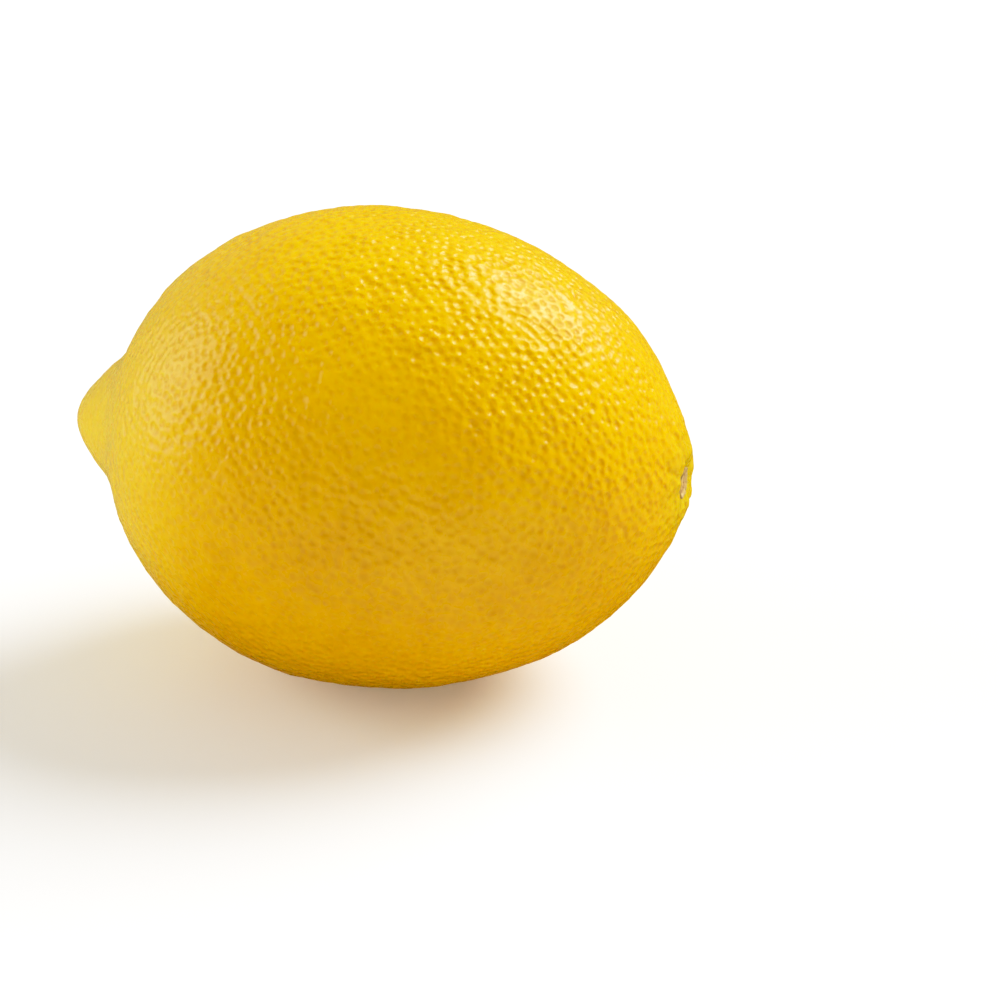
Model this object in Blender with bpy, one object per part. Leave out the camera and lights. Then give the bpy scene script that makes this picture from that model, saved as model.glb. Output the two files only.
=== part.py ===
"""A fresh lemon lying on its side: one grown piece, so one closed solid.

X runs along the fruit, from the nipple of the blossom end (-X) to the scar of the stem end (+X).
Z is up. The origin is on the surface that the fruit rests on, under the middle of its box.
"""

import math

import bmesh
import bpy
from mathutils import Vector

# Body: two half ellipsoids that share one circle, the girth.
GIRTH_RADIUS = 0.0290
BLOSSOM_REACH = 0.0326  # from the girth to where the blossom half would close without its nipple
STEM_REACH = 0.0382  # from the girth to where the stem half would close without its collar

# Blossom end: a blunt nipple whose flank runs into the shoulder in a shallow fold.
NIPPLE_RADIUS = 0.0118
NIPPLE_HEIGHT = 0.0058
NIPPLE_LEAN = -0.0002  # how far the tip has grown off the axis, along Z

# Stem end: a low collar round the dimple that the stalk broke out of, with furrows running in.
COLLAR_RADIUS = 0.0120
COLLAR_HEIGHT = 0.0010
DIMPLE_RADIUS = 0.0042
DIMPLE_DEPTH = 0.0016
FURROW_COUNT = 9
FURROW_DEPTH = 0.0003
FURROW_REACH = 0.0110

# Uneven growth: the girth swells a little along three lines, one of them on top.
SWELL_COUNT = 3
SWELL_HEIGHT = 0.0002

# The spot that the ripe fruit has settled on.
REST_DEPTH = 0.0004  # how much of the curve under the girth the flat takes off

# How finely the surface is cut into faces.
SEGMENTS = 64  # round the axis
RINGS = 46  # from end to end
END_CROWDING = 0.72  # 0 spaces the rings evenly, nearer 1 draws them towards both ends
WELD = 1e-6

PEEL_COLOUR = (0.90, 0.62, 0.03, 1.0)
PEEL_ROUGHNESS = 0.38


def clear_scene():
    for old in list(bpy.data.objects):
        bpy.data.objects.remove(old, do_unlink=True)


def rise(distance, reach):
    """A smooth hump: 1 at no distance, falling level to 0 at reach."""
    share = min(abs(distance) / reach, 1.0)
    return 0.5 + 0.5 * math.cos(math.pi * share)


def outline():
    """Points of the body's outline in the XZ plane, from the blossom end to the stem end."""
    points = []
    for step in range(RINGS + 1):
        turn = math.tau * step / RINGS
        angle = (turn - END_CROWDING * math.sin(turn)) / 2
        reach = BLOSSOM_REACH if step * 2 < RINGS else STEM_REACH
        off_axis = 0.0 if step in (0, RINGS) else GIRTH_RADIUS * math.sin(angle)
        points.append(Vector((-reach * math.cos(angle), 0.0, off_axis)))
    return points


def spun_body():
    """The outline turned round X into a closed skin."""
    skin = bmesh.new()
    corners = [skin.verts.new(point) for point in outline()]
    edges = [skin.edges.new(pair) for pair in zip(corners, corners[1:])]
    bmesh.ops.spin(
        skin,
        geom=corners + edges,
        cent=(0.0, 0.0, 0.0),
        axis=(1.0, 0.0, 0.0),
        angle=math.tau,
        steps=SEGMENTS,
        use_merge=True,
    )
    bmesh.ops.remove_doubles(skin, verts=skin.verts, dist=WELD)
    return skin


def grow_nipple(corner):
    """Draws the middle of the blossom end out into the nipple and leans it."""
    height = rise(math.hypot(corner.y, corner.z), NIPPLE_RADIUS)
    return Vector((-NIPPLE_HEIGHT * height, 0.0, NIPPLE_LEAN * height))


def shape_stem_end(corner):
    """Raises the collar, sinks the dimple in it, and cuts the furrows across both."""
    off_axis = math.hypot(corner.y, corner.z)
    round_axis = math.atan2(corner.y, corner.z)
    collar = COLLAR_HEIGHT * rise(off_axis, COLLAR_RADIUS)
    dimple = DIMPLE_DEPTH * rise(off_axis, DIMPLE_RADIUS)
    along_furrow = rise(off_axis - FURROW_REACH / 2, FURROW_REACH / 2)
    across_furrow = 0.5 + 0.5 * math.cos(FURROW_COUNT * round_axis)
    furrow = FURROW_DEPTH * along_furrow * across_furrow
    return Vector((collar - dimple - furrow, 0.0, 0.0))


def swell(corner):
    """Pushes the girth out along the swollen lines and in between them, less towards the ends."""
    outward = Vector((0.0, corner.y, corner.z))
    round_axis = math.atan2(corner.y, corner.z)
    near_girth = outward.length / GIRTH_RADIUS
    height = SWELL_HEIGHT * math.cos(SWELL_COUNT * round_axis) * near_girth**2
    return outward.normalized() * height


def shape_skin(skin):
    for vert in skin.verts:
        corner = vert.co.copy()
        end = grow_nipple(corner) if corner.x < 0.0 else shape_stem_end(corner)
        vert.co += swell(corner) + end


def flatten_rest(skin):
    """Cuts the resting flat under the girth and closes it with one level face."""
    lowest = min(vert.co.z for vert in skin.verts)
    cut = bmesh.ops.bisect_plane(
        skin,
        geom=skin.verts[:] + skin.edges[:] + skin.faces[:],
        dist=WELD,
        plane_co=(0.0, 0.0, lowest + REST_DEPTH),
        plane_no=(0.0, 0.0, -1.0),
        clear_outer=True,
    )
    rim = [edge for edge in cut["geom_cut"] if isinstance(edge, bmesh.types.BMEdge)]
    for face in skin.faces:
        face.smooth = True
    bmesh.ops.edgeloop_fill(skin, edges=rim, use_smooth=False)


def settle_on_origin(skin):
    """Moves the skin so that the middle of its underside is the origin."""
    low = Vector(min(vert.co[axis] for vert in skin.verts) for axis in range(3))
    high = Vector(max(vert.co[axis] for vert in skin.verts) for axis in range(3))
    under = Vector(((low.x + high.x) / 2, (low.y + high.y) / 2, low.z))
    bmesh.ops.translate(skin, verts=skin.verts, vec=-under)


def peel_material():
    material = bpy.data.materials.new("lemon_peel")
    material.use_nodes = True
    shader = material.node_tree.nodes["Principled BSDF"]
    shader.inputs["Base Color"].default_value = PEEL_COLOUR
    shader.inputs["Roughness"].default_value = PEEL_ROUGHNESS
    shader.inputs["Metallic"].default_value = 0.0
    return material


def make_lemon():
    skin = spun_body()
    shape_skin(skin)
    flatten_rest(skin)
    settle_on_origin(skin)
    bmesh.ops.recalc_face_normals(skin, faces=skin.faces)
    mesh = bpy.data.meshes.new("lemon")
    skin.to_mesh(mesh)
    skin.free()
    mesh.materials.append(peel_material())
    lemon = bpy.data.objects.new("lemon", mesh)
    bpy.context.scene.collection.objects.link(lemon)


clear_scene()
make_lemon()
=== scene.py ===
import math

import bmesh
import bpy
import numpy as np
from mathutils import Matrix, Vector, kdtree, noise


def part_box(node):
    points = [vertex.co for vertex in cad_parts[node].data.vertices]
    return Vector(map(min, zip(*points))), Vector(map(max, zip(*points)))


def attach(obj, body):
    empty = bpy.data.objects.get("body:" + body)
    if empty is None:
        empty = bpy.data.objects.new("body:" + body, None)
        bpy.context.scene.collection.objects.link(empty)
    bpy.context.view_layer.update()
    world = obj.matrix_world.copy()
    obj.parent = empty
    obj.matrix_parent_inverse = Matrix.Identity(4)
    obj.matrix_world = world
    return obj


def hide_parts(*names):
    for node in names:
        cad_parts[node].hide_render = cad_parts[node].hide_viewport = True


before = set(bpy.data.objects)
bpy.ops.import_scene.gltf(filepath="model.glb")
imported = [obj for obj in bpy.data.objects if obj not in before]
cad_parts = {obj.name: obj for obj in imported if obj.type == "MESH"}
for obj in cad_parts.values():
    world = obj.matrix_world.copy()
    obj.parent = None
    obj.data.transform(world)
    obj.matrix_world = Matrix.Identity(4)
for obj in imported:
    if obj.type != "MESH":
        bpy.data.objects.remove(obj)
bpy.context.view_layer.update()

low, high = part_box("lemon")


# The grown shape of the fruit. A lemon swells from the flower's ovary, so it is widest at the
# girth, draws out to a nipple where the flower was, and dimples where the stalk held it.

girth_radius = 0.0290
blossom_reach = 0.0326  # girth to where the blossom half would close without its nipple
stem_reach = 0.0382  # girth to where the stem half would close without its collar
nipple_radius = 0.0118
nipple_height = 0.0058
nipple_lean = -0.0002
collar_radius = 0.0120
collar_height = 0.0010
dimple_radius = 0.0042
dimple_depth = 0.0016
furrow_count = 9
furrow_depth = 0.0003
furrow_reach = 0.0110
swell_count = 3
swell_height = 0.0002

girth_middle = np.array([low.x + blossom_reach + nipple_height, 0.0, high.z - girth_radius - swell_height])


def hump(distance, reach):
    """1 at no distance, falling level to 0 at reach."""
    return 0.5 + 0.5 * np.cos(np.pi * np.clip(np.abs(distance) / reach, 0.0, 1.0))


def grown(ways):
    """Where the skin lies along each unit direction out of the girth's middle."""
    blossom = ways[:, 0] < 0.0
    reach = np.where(blossom, blossom_reach, stem_reach)
    skin = ways * np.column_stack([reach, *[np.full(len(ways), girth_radius)] * 2])
    off_axis = np.hypot(skin[:, 1], skin[:, 2])
    round_axis = np.arctan2(skin[:, 1], skin[:, 2])
    nipple = np.where(blossom, hump(off_axis, nipple_radius), 0.0)
    collar = collar_height * hump(off_axis, collar_radius)
    dimple = dimple_depth * hump(off_axis, dimple_radius)
    wander = round_axis + 0.16 * np.sin(2.0 * round_axis + 0.7) + 0.09 * np.sin(5.0 * round_axis)
    between_lobes = (0.5 - 0.5 * np.cos(furrow_count * wander)) ** 2
    furrow = furrow_depth * between_lobes * np.sin(np.pi * np.clip(off_axis / furrow_reach, 0.0, 1.0)) ** 2
    stem_end = np.where(blossom, 0.0, collar - dimple - furrow)
    swell = swell_height * np.cos(swell_count * round_axis) * (off_axis / girth_radius) ** 2
    outward = 1.0 + swell / np.maximum(off_axis, 1e-9)
    skin[:, 1:] *= outward[:, None]
    skin[:, 0] += stem_end - nipple_height * nipple
    skin[:, 2] += nipple_lean * nipple
    return skin + girth_middle


# The oil glands. They lie just under the skin a little over a millimetre apart, each under a
# shallow pit. They are smaller towards the blossom end, and sparse on the nipple.

gland_count = 8000
gland_scatter = 0.25  # how far a gland strays from an even spacing, as a share of it
crowding_rounds = 1
crowding_reach = 1.15  # how near a gland pushes another, as a share of the room it has
sparse_reach = 0.009  # how far from the axis the nipple's glands are sparse
sparse_share = 0.75  # and how many of them are missing at its tip
smallest_gland = 0.36  # the glands' radii, as shares of the distance to their neighbours
largest_gland = 0.72
fine_reach = 0.030  # how far from the blossom end the glands are finer
fine_share = 0.25  # and by how much at its tip
golden_turn = math.pi * (3.0 - math.sqrt(5.0))
grower = np.random.default_rng(11)


def scattered_glands():
    """Points spread over the skin, evenly by its area except where glands grow sparse."""
    along = np.linspace(-1.0, 1.0, 4001)
    rim = np.column_stack([along, np.zeros_like(along), np.sqrt(1.0 - along**2)])
    outline = grown(rim) - girth_middle
    width = np.hypot(outline[:, 1], outline[:, 2])
    step = np.linalg.norm(np.diff(outline, axis=0), axis=1)
    on_nipple = hump(width, sparse_reach) * (along < 0.0)
    crowding = 1.0 - sparse_share * on_nipple
    area = np.append(0.0, np.cumsum(step * (width * crowding)[1:]))
    share = (np.arange(gland_count) + 0.5) / gland_count
    placed = np.interp(share, area / area[-1], along)
    turn = golden_turn * np.arange(gland_count)
    ring = np.sqrt(1.0 - placed**2)
    ways = np.column_stack([placed, ring * np.sin(turn), ring * np.cos(turn)])
    stray = gland_scatter * math.sqrt(4.0 * math.pi / gland_count)
    ways += grower.normal(0.0, stray, ways.shape)
    return grown(ways / np.linalg.norm(ways, axis=1, keepdims=True))


def neighbours(places, count):
    """A tree of the places, and each place's nearest others with how far off they are."""
    tree = kdtree.KDTree(len(places))
    for index, place in enumerate(places):
        tree.insert(place, index)
    tree.balance()
    found = [tree.find_n(place, count + 1)[1:] for place in places]
    others = np.array([[index for _, index, _ in near] for near in found])
    away = np.array([[distance for _, _, distance in near] for near in found])
    return tree, others, away


def crowded_apart(places):
    """The glands as they lie once each has grown and pushed its nearest ones away."""
    for _ in range(crowding_rounds):
        _, others, away = neighbours(places, 4)
        gap = places[:, None] - places[others]
        room = away.mean(axis=1)[:, None]
        push = np.clip(1.0 - away / (crowding_reach * room), 0.0, 1.0)
        places = places + 0.5 * (gap / away[:, :, None] * (push * room)[:, :, None]).sum(axis=1)
        ways = (places - girth_middle) / np.column_stack([
            np.where(places[:, 0] < girth_middle[0], blossom_reach, stem_reach),
            *[np.full(len(places), girth_radius)] * 2,
        ])
        places = grown(ways / np.linalg.norm(ways, axis=1, keepdims=True))
    return places


glands = crowded_apart(scattered_glands())
gland_tree, _, spacing = neighbours(glands, 4)
gland_radius = spacing.mean(axis=1) * grower.uniform(smallest_gland, largest_gland, gland_count)
gland_radius *= 1.0 - fine_share * hump(glands[:, 0] - low.x, fine_reach)


# The skin. One closed sheet of peel over the whole fruit, waxy and fine-pored, modelled as a ball
# of six even patches that is drawn out to the grown shape and then pitted and lumped.

patch_faces = 127  # faces along each side of a patch, so that the whole stays a workable mesh
pit_depth = 0.00011
pit_spread = 0.00040
lumps = (  # length and height of each size of lump
    (0.0110, 0.00020),
    (0.0040, 0.00011),
    (0.0017, 0.00010),
)
smooth_nipple = 0.0105  # how far from the axis the pits stay faint at the blossom end
smooth_dimple = 0.0042  # and at the stem end
rubbed_share = 0.30  # how much shallower the relief is low on the fruit
rubbed_height = 0.034  # and how high up that reaches
tip_calm = 0.75  # how much of the relief is gone at the nipple's tip
dimple_calm = 0.9  # and in the dimple
hollows = (  # broad shallow dips in the peel: place from the girth's middle, reach, depth
    ((-0.0295, -0.0017, 0.0137), 0.0085, 0.0004),
    ((-0.0103, 0.0099, 0.0266), 0.0100, 0.0004),
    ((0.0120, 0.0240, -0.0120), 0.0120, 0.0004),
)
style_scar_radius = 0.0007
style_scar_depth = 0.00022
settle = 0.00012  # how softly the skin rounds into its resting flat


def ball_of_patches():
    """A closed ball of nearly square faces, as unit directions and a mesh to carry them."""
    ball = bmesh.new()
    bmesh.ops.create_cube(ball, size=2.0)
    bmesh.ops.subdivide_edges(ball, edges=ball.edges[:], cuts=patch_faces - 1, use_grid_fill=True)
    mesh = bpy.data.meshes.new("lemon_skin")
    ball.to_mesh(mesh)
    ball.free()
    corners = np.empty(len(mesh.vertices) * 3)
    mesh.vertices.foreach_get("co", corners)
    ways = np.tan(corners.reshape(-1, 3) * (math.pi / 4.0))
    return mesh, ways / np.linalg.norm(ways, axis=1, keepdims=True)


def lump_height(place):
    return sum(tall * noise.noise(Vector(place) / long) for long, tall in lumps)


def pit_height(place):
    """How far the pits of the nearest glands draw this point in."""
    near = gland_tree.find_n(place, 4)
    return -pit_depth * sum(math.exp(-((away / pit_spread) ** 2)) for _, _, away in near)


skin_mesh, ways = ball_of_patches()
smooth_skin = grown(ways)
skin_mesh.vertices.foreach_set("co", smooth_skin.ravel())
skin_mesh.update()
outward = np.empty(smooth_skin.size)
skin_mesh.vertex_normals.foreach_get("vector", outward)
outward = outward.reshape(-1, 3)
relief = np.array([lump_height(place) + pit_height(place) for place in smooth_skin])
relief += pit_depth * 0.5
off_axis = np.hypot(smooth_skin[:, 1], smooth_skin[:, 2] - girth_middle[2])
blossom_side = smooth_skin[:, 0] < girth_middle[0]
calm = np.where(
    blossom_side,
    tip_calm * hump(off_axis, smooth_nipple),
    dimple_calm * hump(off_axis, smooth_dimple),
)
relief *= 1.0 - calm
relief *= 1.0 - rubbed_share * hump(smooth_skin[:, 2], rubbed_height)
for place, reach, depth in hollows:
    relief -= depth * hump(np.linalg.norm(smooth_skin - girth_middle - place, axis=1), reach)
relief -= blossom_side * style_scar_depth * np.exp(-((off_axis / style_scar_radius) ** 2))
pitted = smooth_skin + outward * relief[:, None]
pitted[:, 2] = (pitted[:, 2] + np.hypot(pitted[:, 2], settle)) / 2.0
skin_mesh.vertices.foreach_set("co", pitted.ravel())
skin_mesh.update()
skin_mesh.shade_smooth()
grown_at = skin_mesh.attributes.new("grown_at", "FLOAT_VECTOR", "POINT")
grown_at.data.foreach_set("vector", smooth_skin.ravel())

middles = np.empty(len(skin_mesh.polygons) * 3)
skin_mesh.polygons.foreach_get("center", middles)
ranks = ("first", "second", "third")
nearby = [
    [found[1] for found in gland_tree.find_n(place, len(ranks))]
    for place in middles.reshape(-1, 3)
]
for rank, gland in zip(ranks, np.array(nearby).T):
    centre = skin_mesh.attributes.new(rank + "_gland_at", "FLOAT_VECTOR", "FACE")
    centre.data.foreach_set("vector", glands[gland].ravel())
    reach = skin_mesh.attributes.new(rank + "_gland_size", "FLOAT", "FACE")
    reach.data.foreach_set("value", gland_radius[gland])

skin = bpy.data.objects.new("lemon_skin", skin_mesh)
bpy.context.scene.collection.objects.link(skin)


class Wire:
    """One output of a material's nodes. Arithmetic on it adds Math nodes."""

    def __init__(self, tree, socket=None):
        self.tree = tree
        self.socket = socket

    def node(self, kind, settings=(), inputs=(), output=0):
        """Adds a node: its settings first, then the values or links of its sockets."""
        made = self.tree.nodes.new("ShaderNode" + kind)
        for name, value in dict(settings).items():
            setattr(made, name, value)
        for name, value in dict(inputs).items():
            if isinstance(value, Wire):
                self.tree.links.new(value.socket, made.inputs[name])
            else:
                made.inputs[name].default_value = value
        return Wire(self.tree, made.outputs[output])

    def maths(self, operation, first, second=0.0):
        return self.node("Math", {"operation": operation}, {0: first, 1: second})

    def __add__(self, other):
        return self.maths("ADD", self, other)

    __radd__ = __add__

    def __sub__(self, other):
        return self.maths("SUBTRACT", self, other)

    def __rsub__(self, other):
        return self.maths("SUBTRACT", other, self)

    def __mul__(self, other):
        return self.maths("MULTIPLY", self, other)

    __rmul__ = __mul__

    def __truediv__(self, other):
        return self.maths("DIVIDE", self, other)

    def __pow__(self, other):
        return self.maths("POWER", self, other)

    def eased(self, start, end):
        """0 up to start, rising smoothly to 1 at end."""
        settings = {"interpolation_type": "SMOOTHSTEP"}
        return self.node("MapRange", settings, {"Value": self, "From Min": start, "From Max": end})

    def blend(self, low_colour, high_colour):
        """The colour between two, by this share."""
        settings = {"data_type": "RGBA"}
        inputs = {"Factor": self, 6: low_colour, 7: high_colour}
        return self.node("Mix", settings, inputs, 2)

    def axes(self):
        return [self.node("SeparateXYZ", (), {0: self}, axis) for axis in range(3)]

    def noise(self, size, detail=2.0, roughness=0.5):
        """Cloudy noise whose clouds are about this long, from 0 to 1."""
        inputs = {"Vector": self, "Scale": 1.0 / size, "Detail": detail, "Roughness": roughness}
        return self.node("TexNoise", (), inputs, "Fac")


def colour(red, green, blue):
    """A screen colour of 0 to 255 as the light it stands for."""
    linear = [
        ((c / 255 + 0.055) / 1.055) ** 2.4 if c > 10 else c / 255 / 12.92
        for c in (red, green, blue)
    ]
    return (*linear, 1.0)


lemon_yellow = colour(243, 190, 5)
# golden: the peel's riper tone, and also its painted shade low on the fruit
golden_and_shade_yellow = colour(212, 150, 1)
# pale: the nipple's own paler tone, with a painted sheen from the low lamp on the left
pale_and_sheen_yellow = colour(236, 199, 46)
gland_yellow = colour(211, 144, 1)
greenish_yellow = colour(196, 172, 20)
style_brown = colour(142, 98, 42)

peel = bpy.data.materials.new("lemon_peel")
peel.use_nodes = True
shader = peel.node_tree.nodes["Principled BSDF"]
wire = Wire(peel.node_tree)
at = wire.node("Attribute", {"attribute_name": "grown_at"}, (), "Vector")
along, across, up = at.axes()

rim_wander = 0.00022  # how far the pits' rims stray from round
hidden_gland = 0.00025  # radius of a gland too small to show
shown_gland = 0.00080  # and of one that shows in full
wander = at.node("TexNoise", (), {"Vector": at, "Scale": 1400.0, "Detail": 1.0}, "Color")
wander = wire.node("VectorMath", {"operation": "SUBTRACT"}, {0: wander, 1: (0.5, 0.5, 0.5)})
wander = wire.node("VectorMath", {"operation": "SCALE"}, {0: wander, "Scale": rim_wander})
strayed = wire.node("VectorMath", {"operation": "ADD"}, {0: at, 1: wander})


def off_gland(rank):
    """0 in the middle of a large gland's pit, 1 from its rim on. The smallest glands hardly show."""
    centre = wire.node("Attribute", {"attribute_name": rank + "_gland_at"}, (), "Vector")
    size = wire.node("Attribute", {"attribute_name": rank + "_gland_size"}, (), "Fac")
    away = wire.node("VectorMath", {"operation": "DISTANCE"}, {0: strayed, 1: centre}, "Value")
    return 1.0 - (1.0 - (away / size).eased(0.0, 1.0)) * size.eased(hidden_gland, shown_gland)


in_pit = 1.0 - off_gland("first") * off_gland("second") * off_gland("third")

ripeness = at.noise(0.018, 3.0)
mottle = at.noise(0.0034, 2.0) - 0.5
from_blossom = along.eased(-0.034, -0.006)
# The peel warms to golden at random and away from the blossom. It is also painted darker and more golden
# low on the fruit: painted shade of its underside.
warmth_and_low_shade = 0.2 + (ripeness - 0.5) * 0.35 + (0.030 - up) * 7.0 + from_blossom * 0.36 + mottle * 0.15
warmth_and_low_shade = warmth_and_low_shade.eased(0.15, 0.9)
body_colour = warmth_and_low_shade.blend(lemon_yellow, golden_and_shade_yellow)
from_axis = (across**2 + (up - float(girth_middle[2]))**2) ** 0.5
near_tip = (along * -1.0).eased(0.024, 0.036)
# Paler towards the blossom end: partly the nipple's own paler colour, partly a painted sheen of the low
# lamp on the left.
paling_and_sheen = (along * -1.0).eased(0.010, 0.036)
near_stalk = (1.0 - from_axis.eased(0.002, 0.009)) * along.eased(0.030, 0.034)
in_style_scar = (1.0 - (from_axis + mottle * 0.0006).eased(0.0004, 0.0010)) * near_tip
body_colour = (paling_and_sheen * 0.6).blend(body_colour, pale_and_sheen_yellow)
body_colour = (near_stalk * 0.6).blend(body_colour, greenish_yellow)
pit_share = in_pit * (1.0 - near_tip * 0.7)
body_colour = (pit_share * 0.15).blend(body_colour, gland_yellow)
body_colour = (in_style_scar * 0.8).blend(body_colour, style_brown)
wire.tree.links.new(body_colour.socket, shader.inputs["Base Color"])

waxiness = at.noise(0.0012, 2.0)
rough = 0.22 + waxiness * 0.10 + in_pit * 0.05 + in_style_scar * 0.3
wire.tree.links.new(rough.socket, shader.inputs["Roughness"])

grain = at.noise(0.0005, 2.0, 0.5)
dapple = at.noise(0.0014, 1.0)
patchy = at.noise(0.0045, 1.0).eased(0.35, 0.65)
firmness = (0.6 + up.eased(0.010, 0.034) * 0.4) * (0.64 + along.eased(-0.026, 0.010) * 0.60)
firmness = firmness * (0.75 + patchy * 0.4) * (1.0 - near_tip * 0.5)
height = (grain * 0.10 + dapple * 1.8 - pit_share * 1.25) * firmness
bump = wire.node("Bump", (), {"Height": height, "Distance": 0.00012, "Strength": 1.0})
wire.tree.links.new(bump.socket, shader.inputs["Normal"])

shader.inputs["Subsurface Weight"].default_value = 0.50
shader.inputs["Subsurface Radius"].default_value = (1.0, 0.55, 0.12)
shader.inputs["Subsurface Scale"].default_value = 0.0020
shader.inputs["IOR"].default_value = 1.45
shader.inputs["Specular IOR Level"].default_value = 0.40
shader.inputs["Coat Weight"].default_value = 0.12
shader.inputs["Coat Roughness"].default_value = 0.18
skin_mesh.materials.append(peel)

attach(skin, "root")
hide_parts("lemon")


# The stem scar. A small corky disc in the dimple, where the stalk came away: it has a raised
# ragged lip, a sunken core and a ring of ten dots, the ends of the strands that fed the fruit.

scar_radius = 0.0021
scar_lift = 0.00022
scar_tuck = 0.00050  # how far the disc's edge runs in under the skin
lip_height = 0.00010
level_share = 0.80  # shares of the scar's radius: the disc is level out to here
fall_share = 0.25  # and falls to the skin over this much more
edge_share = 0.85  # its edge starts to tuck under here
tuck_share = 0.27  # over this much more
lip_share = 0.84  # the lip's crest
lip_width = 0.10
core_radius = 0.00034
core_depth = 0.00014
strand_count = 10
strand_ring = 0.00125
strand_radius = 0.00013
strand_depth = 0.00012
scar_rings = 34
scar_spokes = 120

strand_turns = np.arange(strand_count) + grower.uniform(-0.22, 0.22, strand_count)
strand_turns = strand_turns * math.tau / strand_count
strand_offs = strand_ring * grower.uniform(0.92, 1.08, strand_count)
strands = np.column_stack([strand_offs * np.sin(strand_turns), strand_offs * np.cos(strand_turns)])


def scar_place(off, turn):
    """Where the scar's surface lies, this far off the fruit's axis and this far round it."""
    share = off / scar_radius
    ragged = 1.0 + 0.10 * noise.noise(Vector((math.sin(turn), math.cos(turn), 0.3)) * 2.6)
    aside = off * ragged
    tilt = math.sqrt(1.0 - (aside / girth_radius) ** 2)
    way = [tilt, aside * math.sin(turn) / girth_radius, aside * math.cos(turn) / girth_radius]
    place = grown(np.array([way]))[0]
    flat = place[1:] - girth_middle[1:]
    to_strands = np.linalg.norm(strands - flat, axis=1)
    lift = scar_lift * float(hump(max(share - level_share, 0.0), fall_share))
    lift -= scar_tuck * (1.0 - float(hump(max(share - edge_share, 0.0), tuck_share)))
    lift += lip_height * math.exp(-(((share - lip_share) / lip_width) ** 2))
    lift -= core_depth * math.exp(-((off / core_radius) ** 2))
    lift -= strand_depth * float(np.exp(-((to_strands / strand_radius) ** 2)).sum())
    lift += 0.00007 * noise.noise(Vector(place) / 0.00060) + 0.00005 * noise.noise(Vector(place) / 0.00022)
    return place + np.array([lift, 0.0, 0.0])


scar_form = bmesh.new()
hub = scar_form.verts.new(scar_place(0.0, 0.0))
under = scar_form.verts.new(scar_place(0.0, 0.0) - np.array([2.0 * scar_tuck, 0.0, 0.0]))
rows = []
for ring in range(1, scar_rings + 1):
    off = scar_radius * 1.12 * ring / scar_rings
    turns = [math.tau * spoke / scar_spokes for spoke in range(scar_spokes)]
    rows.append([scar_form.verts.new(scar_place(off, turn)) for turn in turns])
for spoke in range(scar_spokes):
    after = (spoke + 1) % scar_spokes
    scar_form.faces.new((hub, rows[0][after], rows[0][spoke]))
    for inner, outer in zip(rows, rows[1:]):
        scar_form.faces.new((inner[spoke], inner[after], outer[after], outer[spoke]))
    scar_form.faces.new((under, rows[-1][spoke], rows[-1][after]))
scar_form.normal_update()
scar_mesh = bpy.data.meshes.new("stem_scar")
scar_form.to_mesh(scar_mesh)
scar_form.free()
scar_mesh.shade_smooth()
scar = bpy.data.objects.new("stem_scar", scar_mesh)
bpy.context.scene.collection.objects.link(scar)

cork_tan = colour(188, 150, 92)
cork_pale = colour(214, 186, 130)
bark_brown = colour(104, 76, 34)
strand_brown = colour(120, 84, 44)

cork = bpy.data.materials.new("stem_cork")
cork.use_nodes = True
shader = cork.node_tree.nodes["Principled BSDF"]
wire = Wire(cork.node_tree)
at = wire.node("TexCoord", (), (), "Object")
along, across, up = at.axes()
from_axis = (across**2 + (up - float(girth_middle[2]))**2) ** 0.5
crumble = at.noise(0.00030, 3.0, 0.65)
stain = at.noise(0.0011, 2.0)
cork_colour = stain.eased(0.3, 0.7).blend(cork_tan, cork_pale)
in_ring = (from_axis + (crumble - 0.5) * 0.0003).eased(strand_ring - 0.00030, strand_ring)
in_ring = in_ring * (1.0 - from_axis.eased(strand_ring, strand_ring + 0.00030))
cork_colour = (in_ring * crumble.eased(0.35, 0.65) * 0.7).blend(cork_colour, strand_brown)
at_lip = (from_axis + (stain - 0.5) * 0.0008).eased(scar_radius * 0.72, scar_radius * 0.98)
cork_colour = (at_lip * 0.85).blend(cork_colour, bark_brown)
wire.tree.links.new(cork_colour.socket, shader.inputs["Base Color"])
rough = 0.75 + crumble * 0.2
wire.tree.links.new(rough.socket, shader.inputs["Roughness"])
bump = wire.node("Bump", (), {"Height": crumble, "Distance": 0.00008, "Strength": 1.0})
wire.tree.links.new(bump.socket, shader.inputs["Normal"])
shader.inputs["Specular IOR Level"].default_value = 0.25
scar_mesh.materials.append(cork)

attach(scar, "root")


# The table, the light and the camera. A plain white floor that glows faintly, as a light table
# does, a large soft lamp high on the right and a little behind, and a dimmer one low on the left.
# Each lamp is two: a wide one that lights the peel, and a narrower glint that the peel mirrors.

table = bpy.data.objects.new("table", bpy.data.meshes.new("table"))
half = 3.0
corners = [(-half, -half, 0), (half, -half, 0), (half, half, 0), (-half, half, 0)]
table.data.from_pydata(corners, [], [(0, 1, 2, 3)])
bpy.context.scene.collection.objects.link(table)
white = bpy.data.materials.new("white_table")
white.use_nodes = True
paint = white.node_tree.nodes["Principled BSDF"]
paint.inputs["Base Color"].default_value = (0.9, 0.9, 0.9, 1.0)
paint.inputs["Roughness"].default_value = 0.9
paint.inputs["Emission Color"].default_value = (1.0, 0.92, 0.68, 1.0)
paint.inputs["Emission Strength"].default_value = 0.17
table.data.materials.append(white)
table.visible_glossy = False

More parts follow.
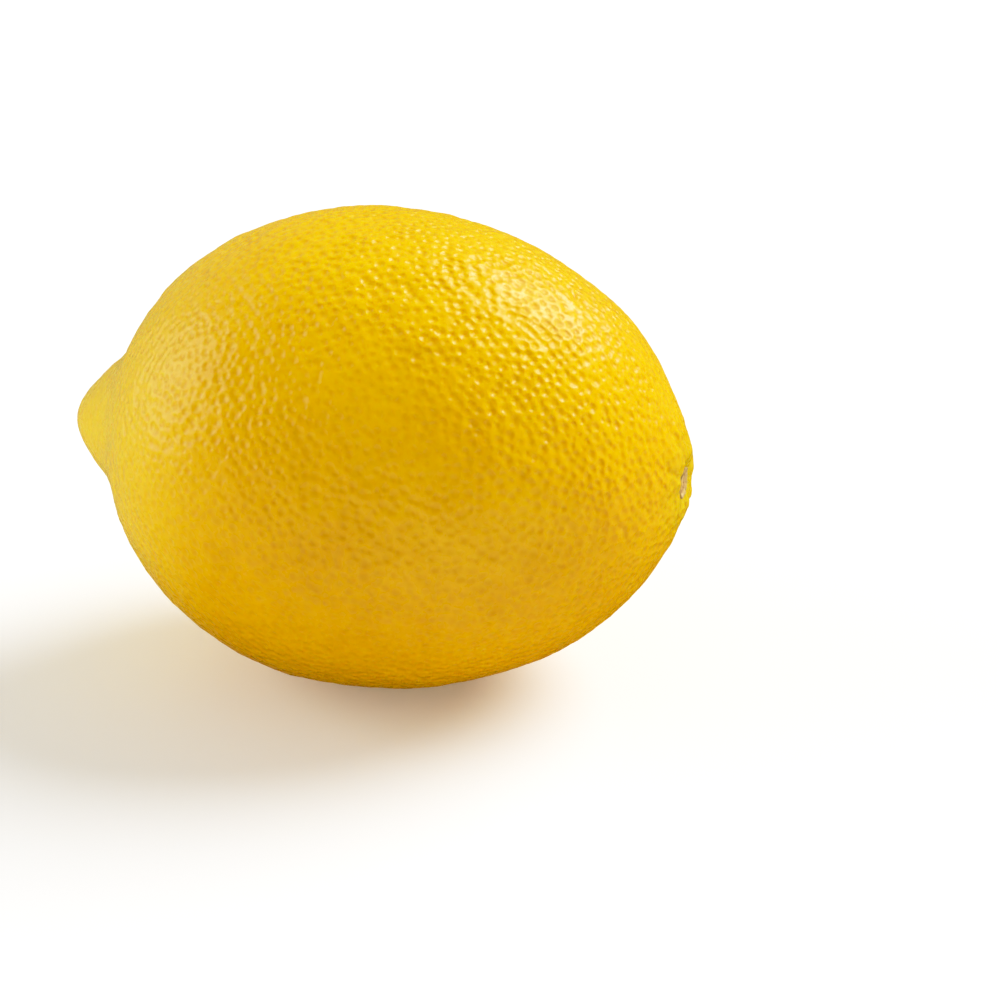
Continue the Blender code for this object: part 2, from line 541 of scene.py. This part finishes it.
world = bpy.data.worlds.new("studio")
world.use_nodes = True
sky = world.node_tree.nodes["Background"]
sky.inputs["Color"].default_value = (1.0, 1.0, 1.0, 1.0)
seen = Wire(world.node_tree).node("LightPath", (), (), "Is Camera Ray")
mirrored = Wire(world.node_tree).node("LightPath", (), (), "Is Glossy Ray")
eastward, northward, skyward = Wire(world.node_tree).node("TexCoord", (), (), "Generated").axes()
west_wall = (eastward * -1.0).eased(0.1, 0.75) * northward.eased(-0.3, 0.3) * skyward.eased(-0.75, -0.45)
backdrop = 0.02 + northward.eased(0.0, 0.8) * skyward.eased(-0.6, 0.0) * 0.06 + west_wall * 0.22
sky_shown = 1.6  # what the camera sees, a full white
sky_light = 0.47  # what lights the peel
strength = seen * sky_shown + (1.0 - seen) * (sky_light + mirrored * (backdrop - sky_light))
world.node_tree.links.new(strength.socket, sky.inputs["Strength"])
world.cycles.sampling_method = "NONE"  # so that the backdrop alone is what the peel mirrors
bpy.context.scene.world = world

middle = Vector(girth_middle)


def hang_lamp(name, compass, climb, spread, strength):
    """A distant soft lamp aimed at the fruit; compass is degrees from +X towards +Y."""
    lamp_data = bpy.data.lights.new(name, "SUN")
    lamp_data.angle = math.radians(spread)
    lamp_data.energy = strength
    lamp = bpy.data.objects.new(name, lamp_data)
    turn, rise = math.radians(compass), math.radians(climb)
    way = Vector((math.cos(turn) * math.cos(rise), math.sin(turn) * math.cos(rise), math.sin(rise)))
    lamp.location = middle + way
    lamp.rotation_euler = way.to_track_quat("Z", "Y").to_euler()
    bpy.context.scene.collection.objects.link(lamp)
    return lamp


hang_lamp("key_lamp", 43.0, 42.0, 44.0, 4.5).visible_glossy = False
hang_lamp("key_glint", 57.0, 44.0, 27.0, 1.50).visible_diffuse = False
hang_lamp("fill_lamp", 196.0, 20.0, 50.0, 1.50).visible_glossy = False
hang_lamp("fill_glint", 184.0, 19.0, 42.0, 0.80).visible_diffuse = False

view_turn = math.radians(15.64)
view_climb = math.radians(25.0)
view_distance = 0.3362
lens = 100.0
sensor = 36.0
back = Vector((
    math.sin(view_turn) * math.cos(view_climb),
    -math.cos(view_turn) * math.cos(view_climb),
    math.sin(view_climb),
))
right = Vector((math.cos(view_turn), math.sin(view_turn), 0.0))
above = back.cross(right)
aside = 0.126 * sensor / lens * view_distance  # the fruit lies left of the picture's middle
lower = 0.053 * sensor / lens * view_distance  # and a little above it

camera_data = bpy.data.cameras.new("camera")
camera_data.lens = lens
camera_data.sensor_width = sensor
camera = bpy.data.objects.new("camera", camera_data)
camera.location = middle + back * view_distance + right * aside - above * lower
camera.rotation_euler = back.to_track_quat("Z", "Y").to_euler()
bpy.context.scene.collection.objects.link(camera)
bpy.context.scene.camera = camera
grade = bpy.context.scene.view_settings
grade.view_transform = "Standard"
grade.use_curve_mapping = True
grade.curve_mapping.black_level = (0.0, 0.0, 0.011)
brightest = 1.4  # the scene's light that shows as full white
grade.curve_mapping.white_level = (brightest, brightest, brightest)
shoulder = grade.curve_mapping.curves[3]
for light, shown in ((0.30, 0.30), (0.60, 0.595), (0.85, 0.78), (1.05, 0.885), (1.20, 0.945)):
    shoulder.points.new(light / brightest, shown)
grade.curve_mapping.update()
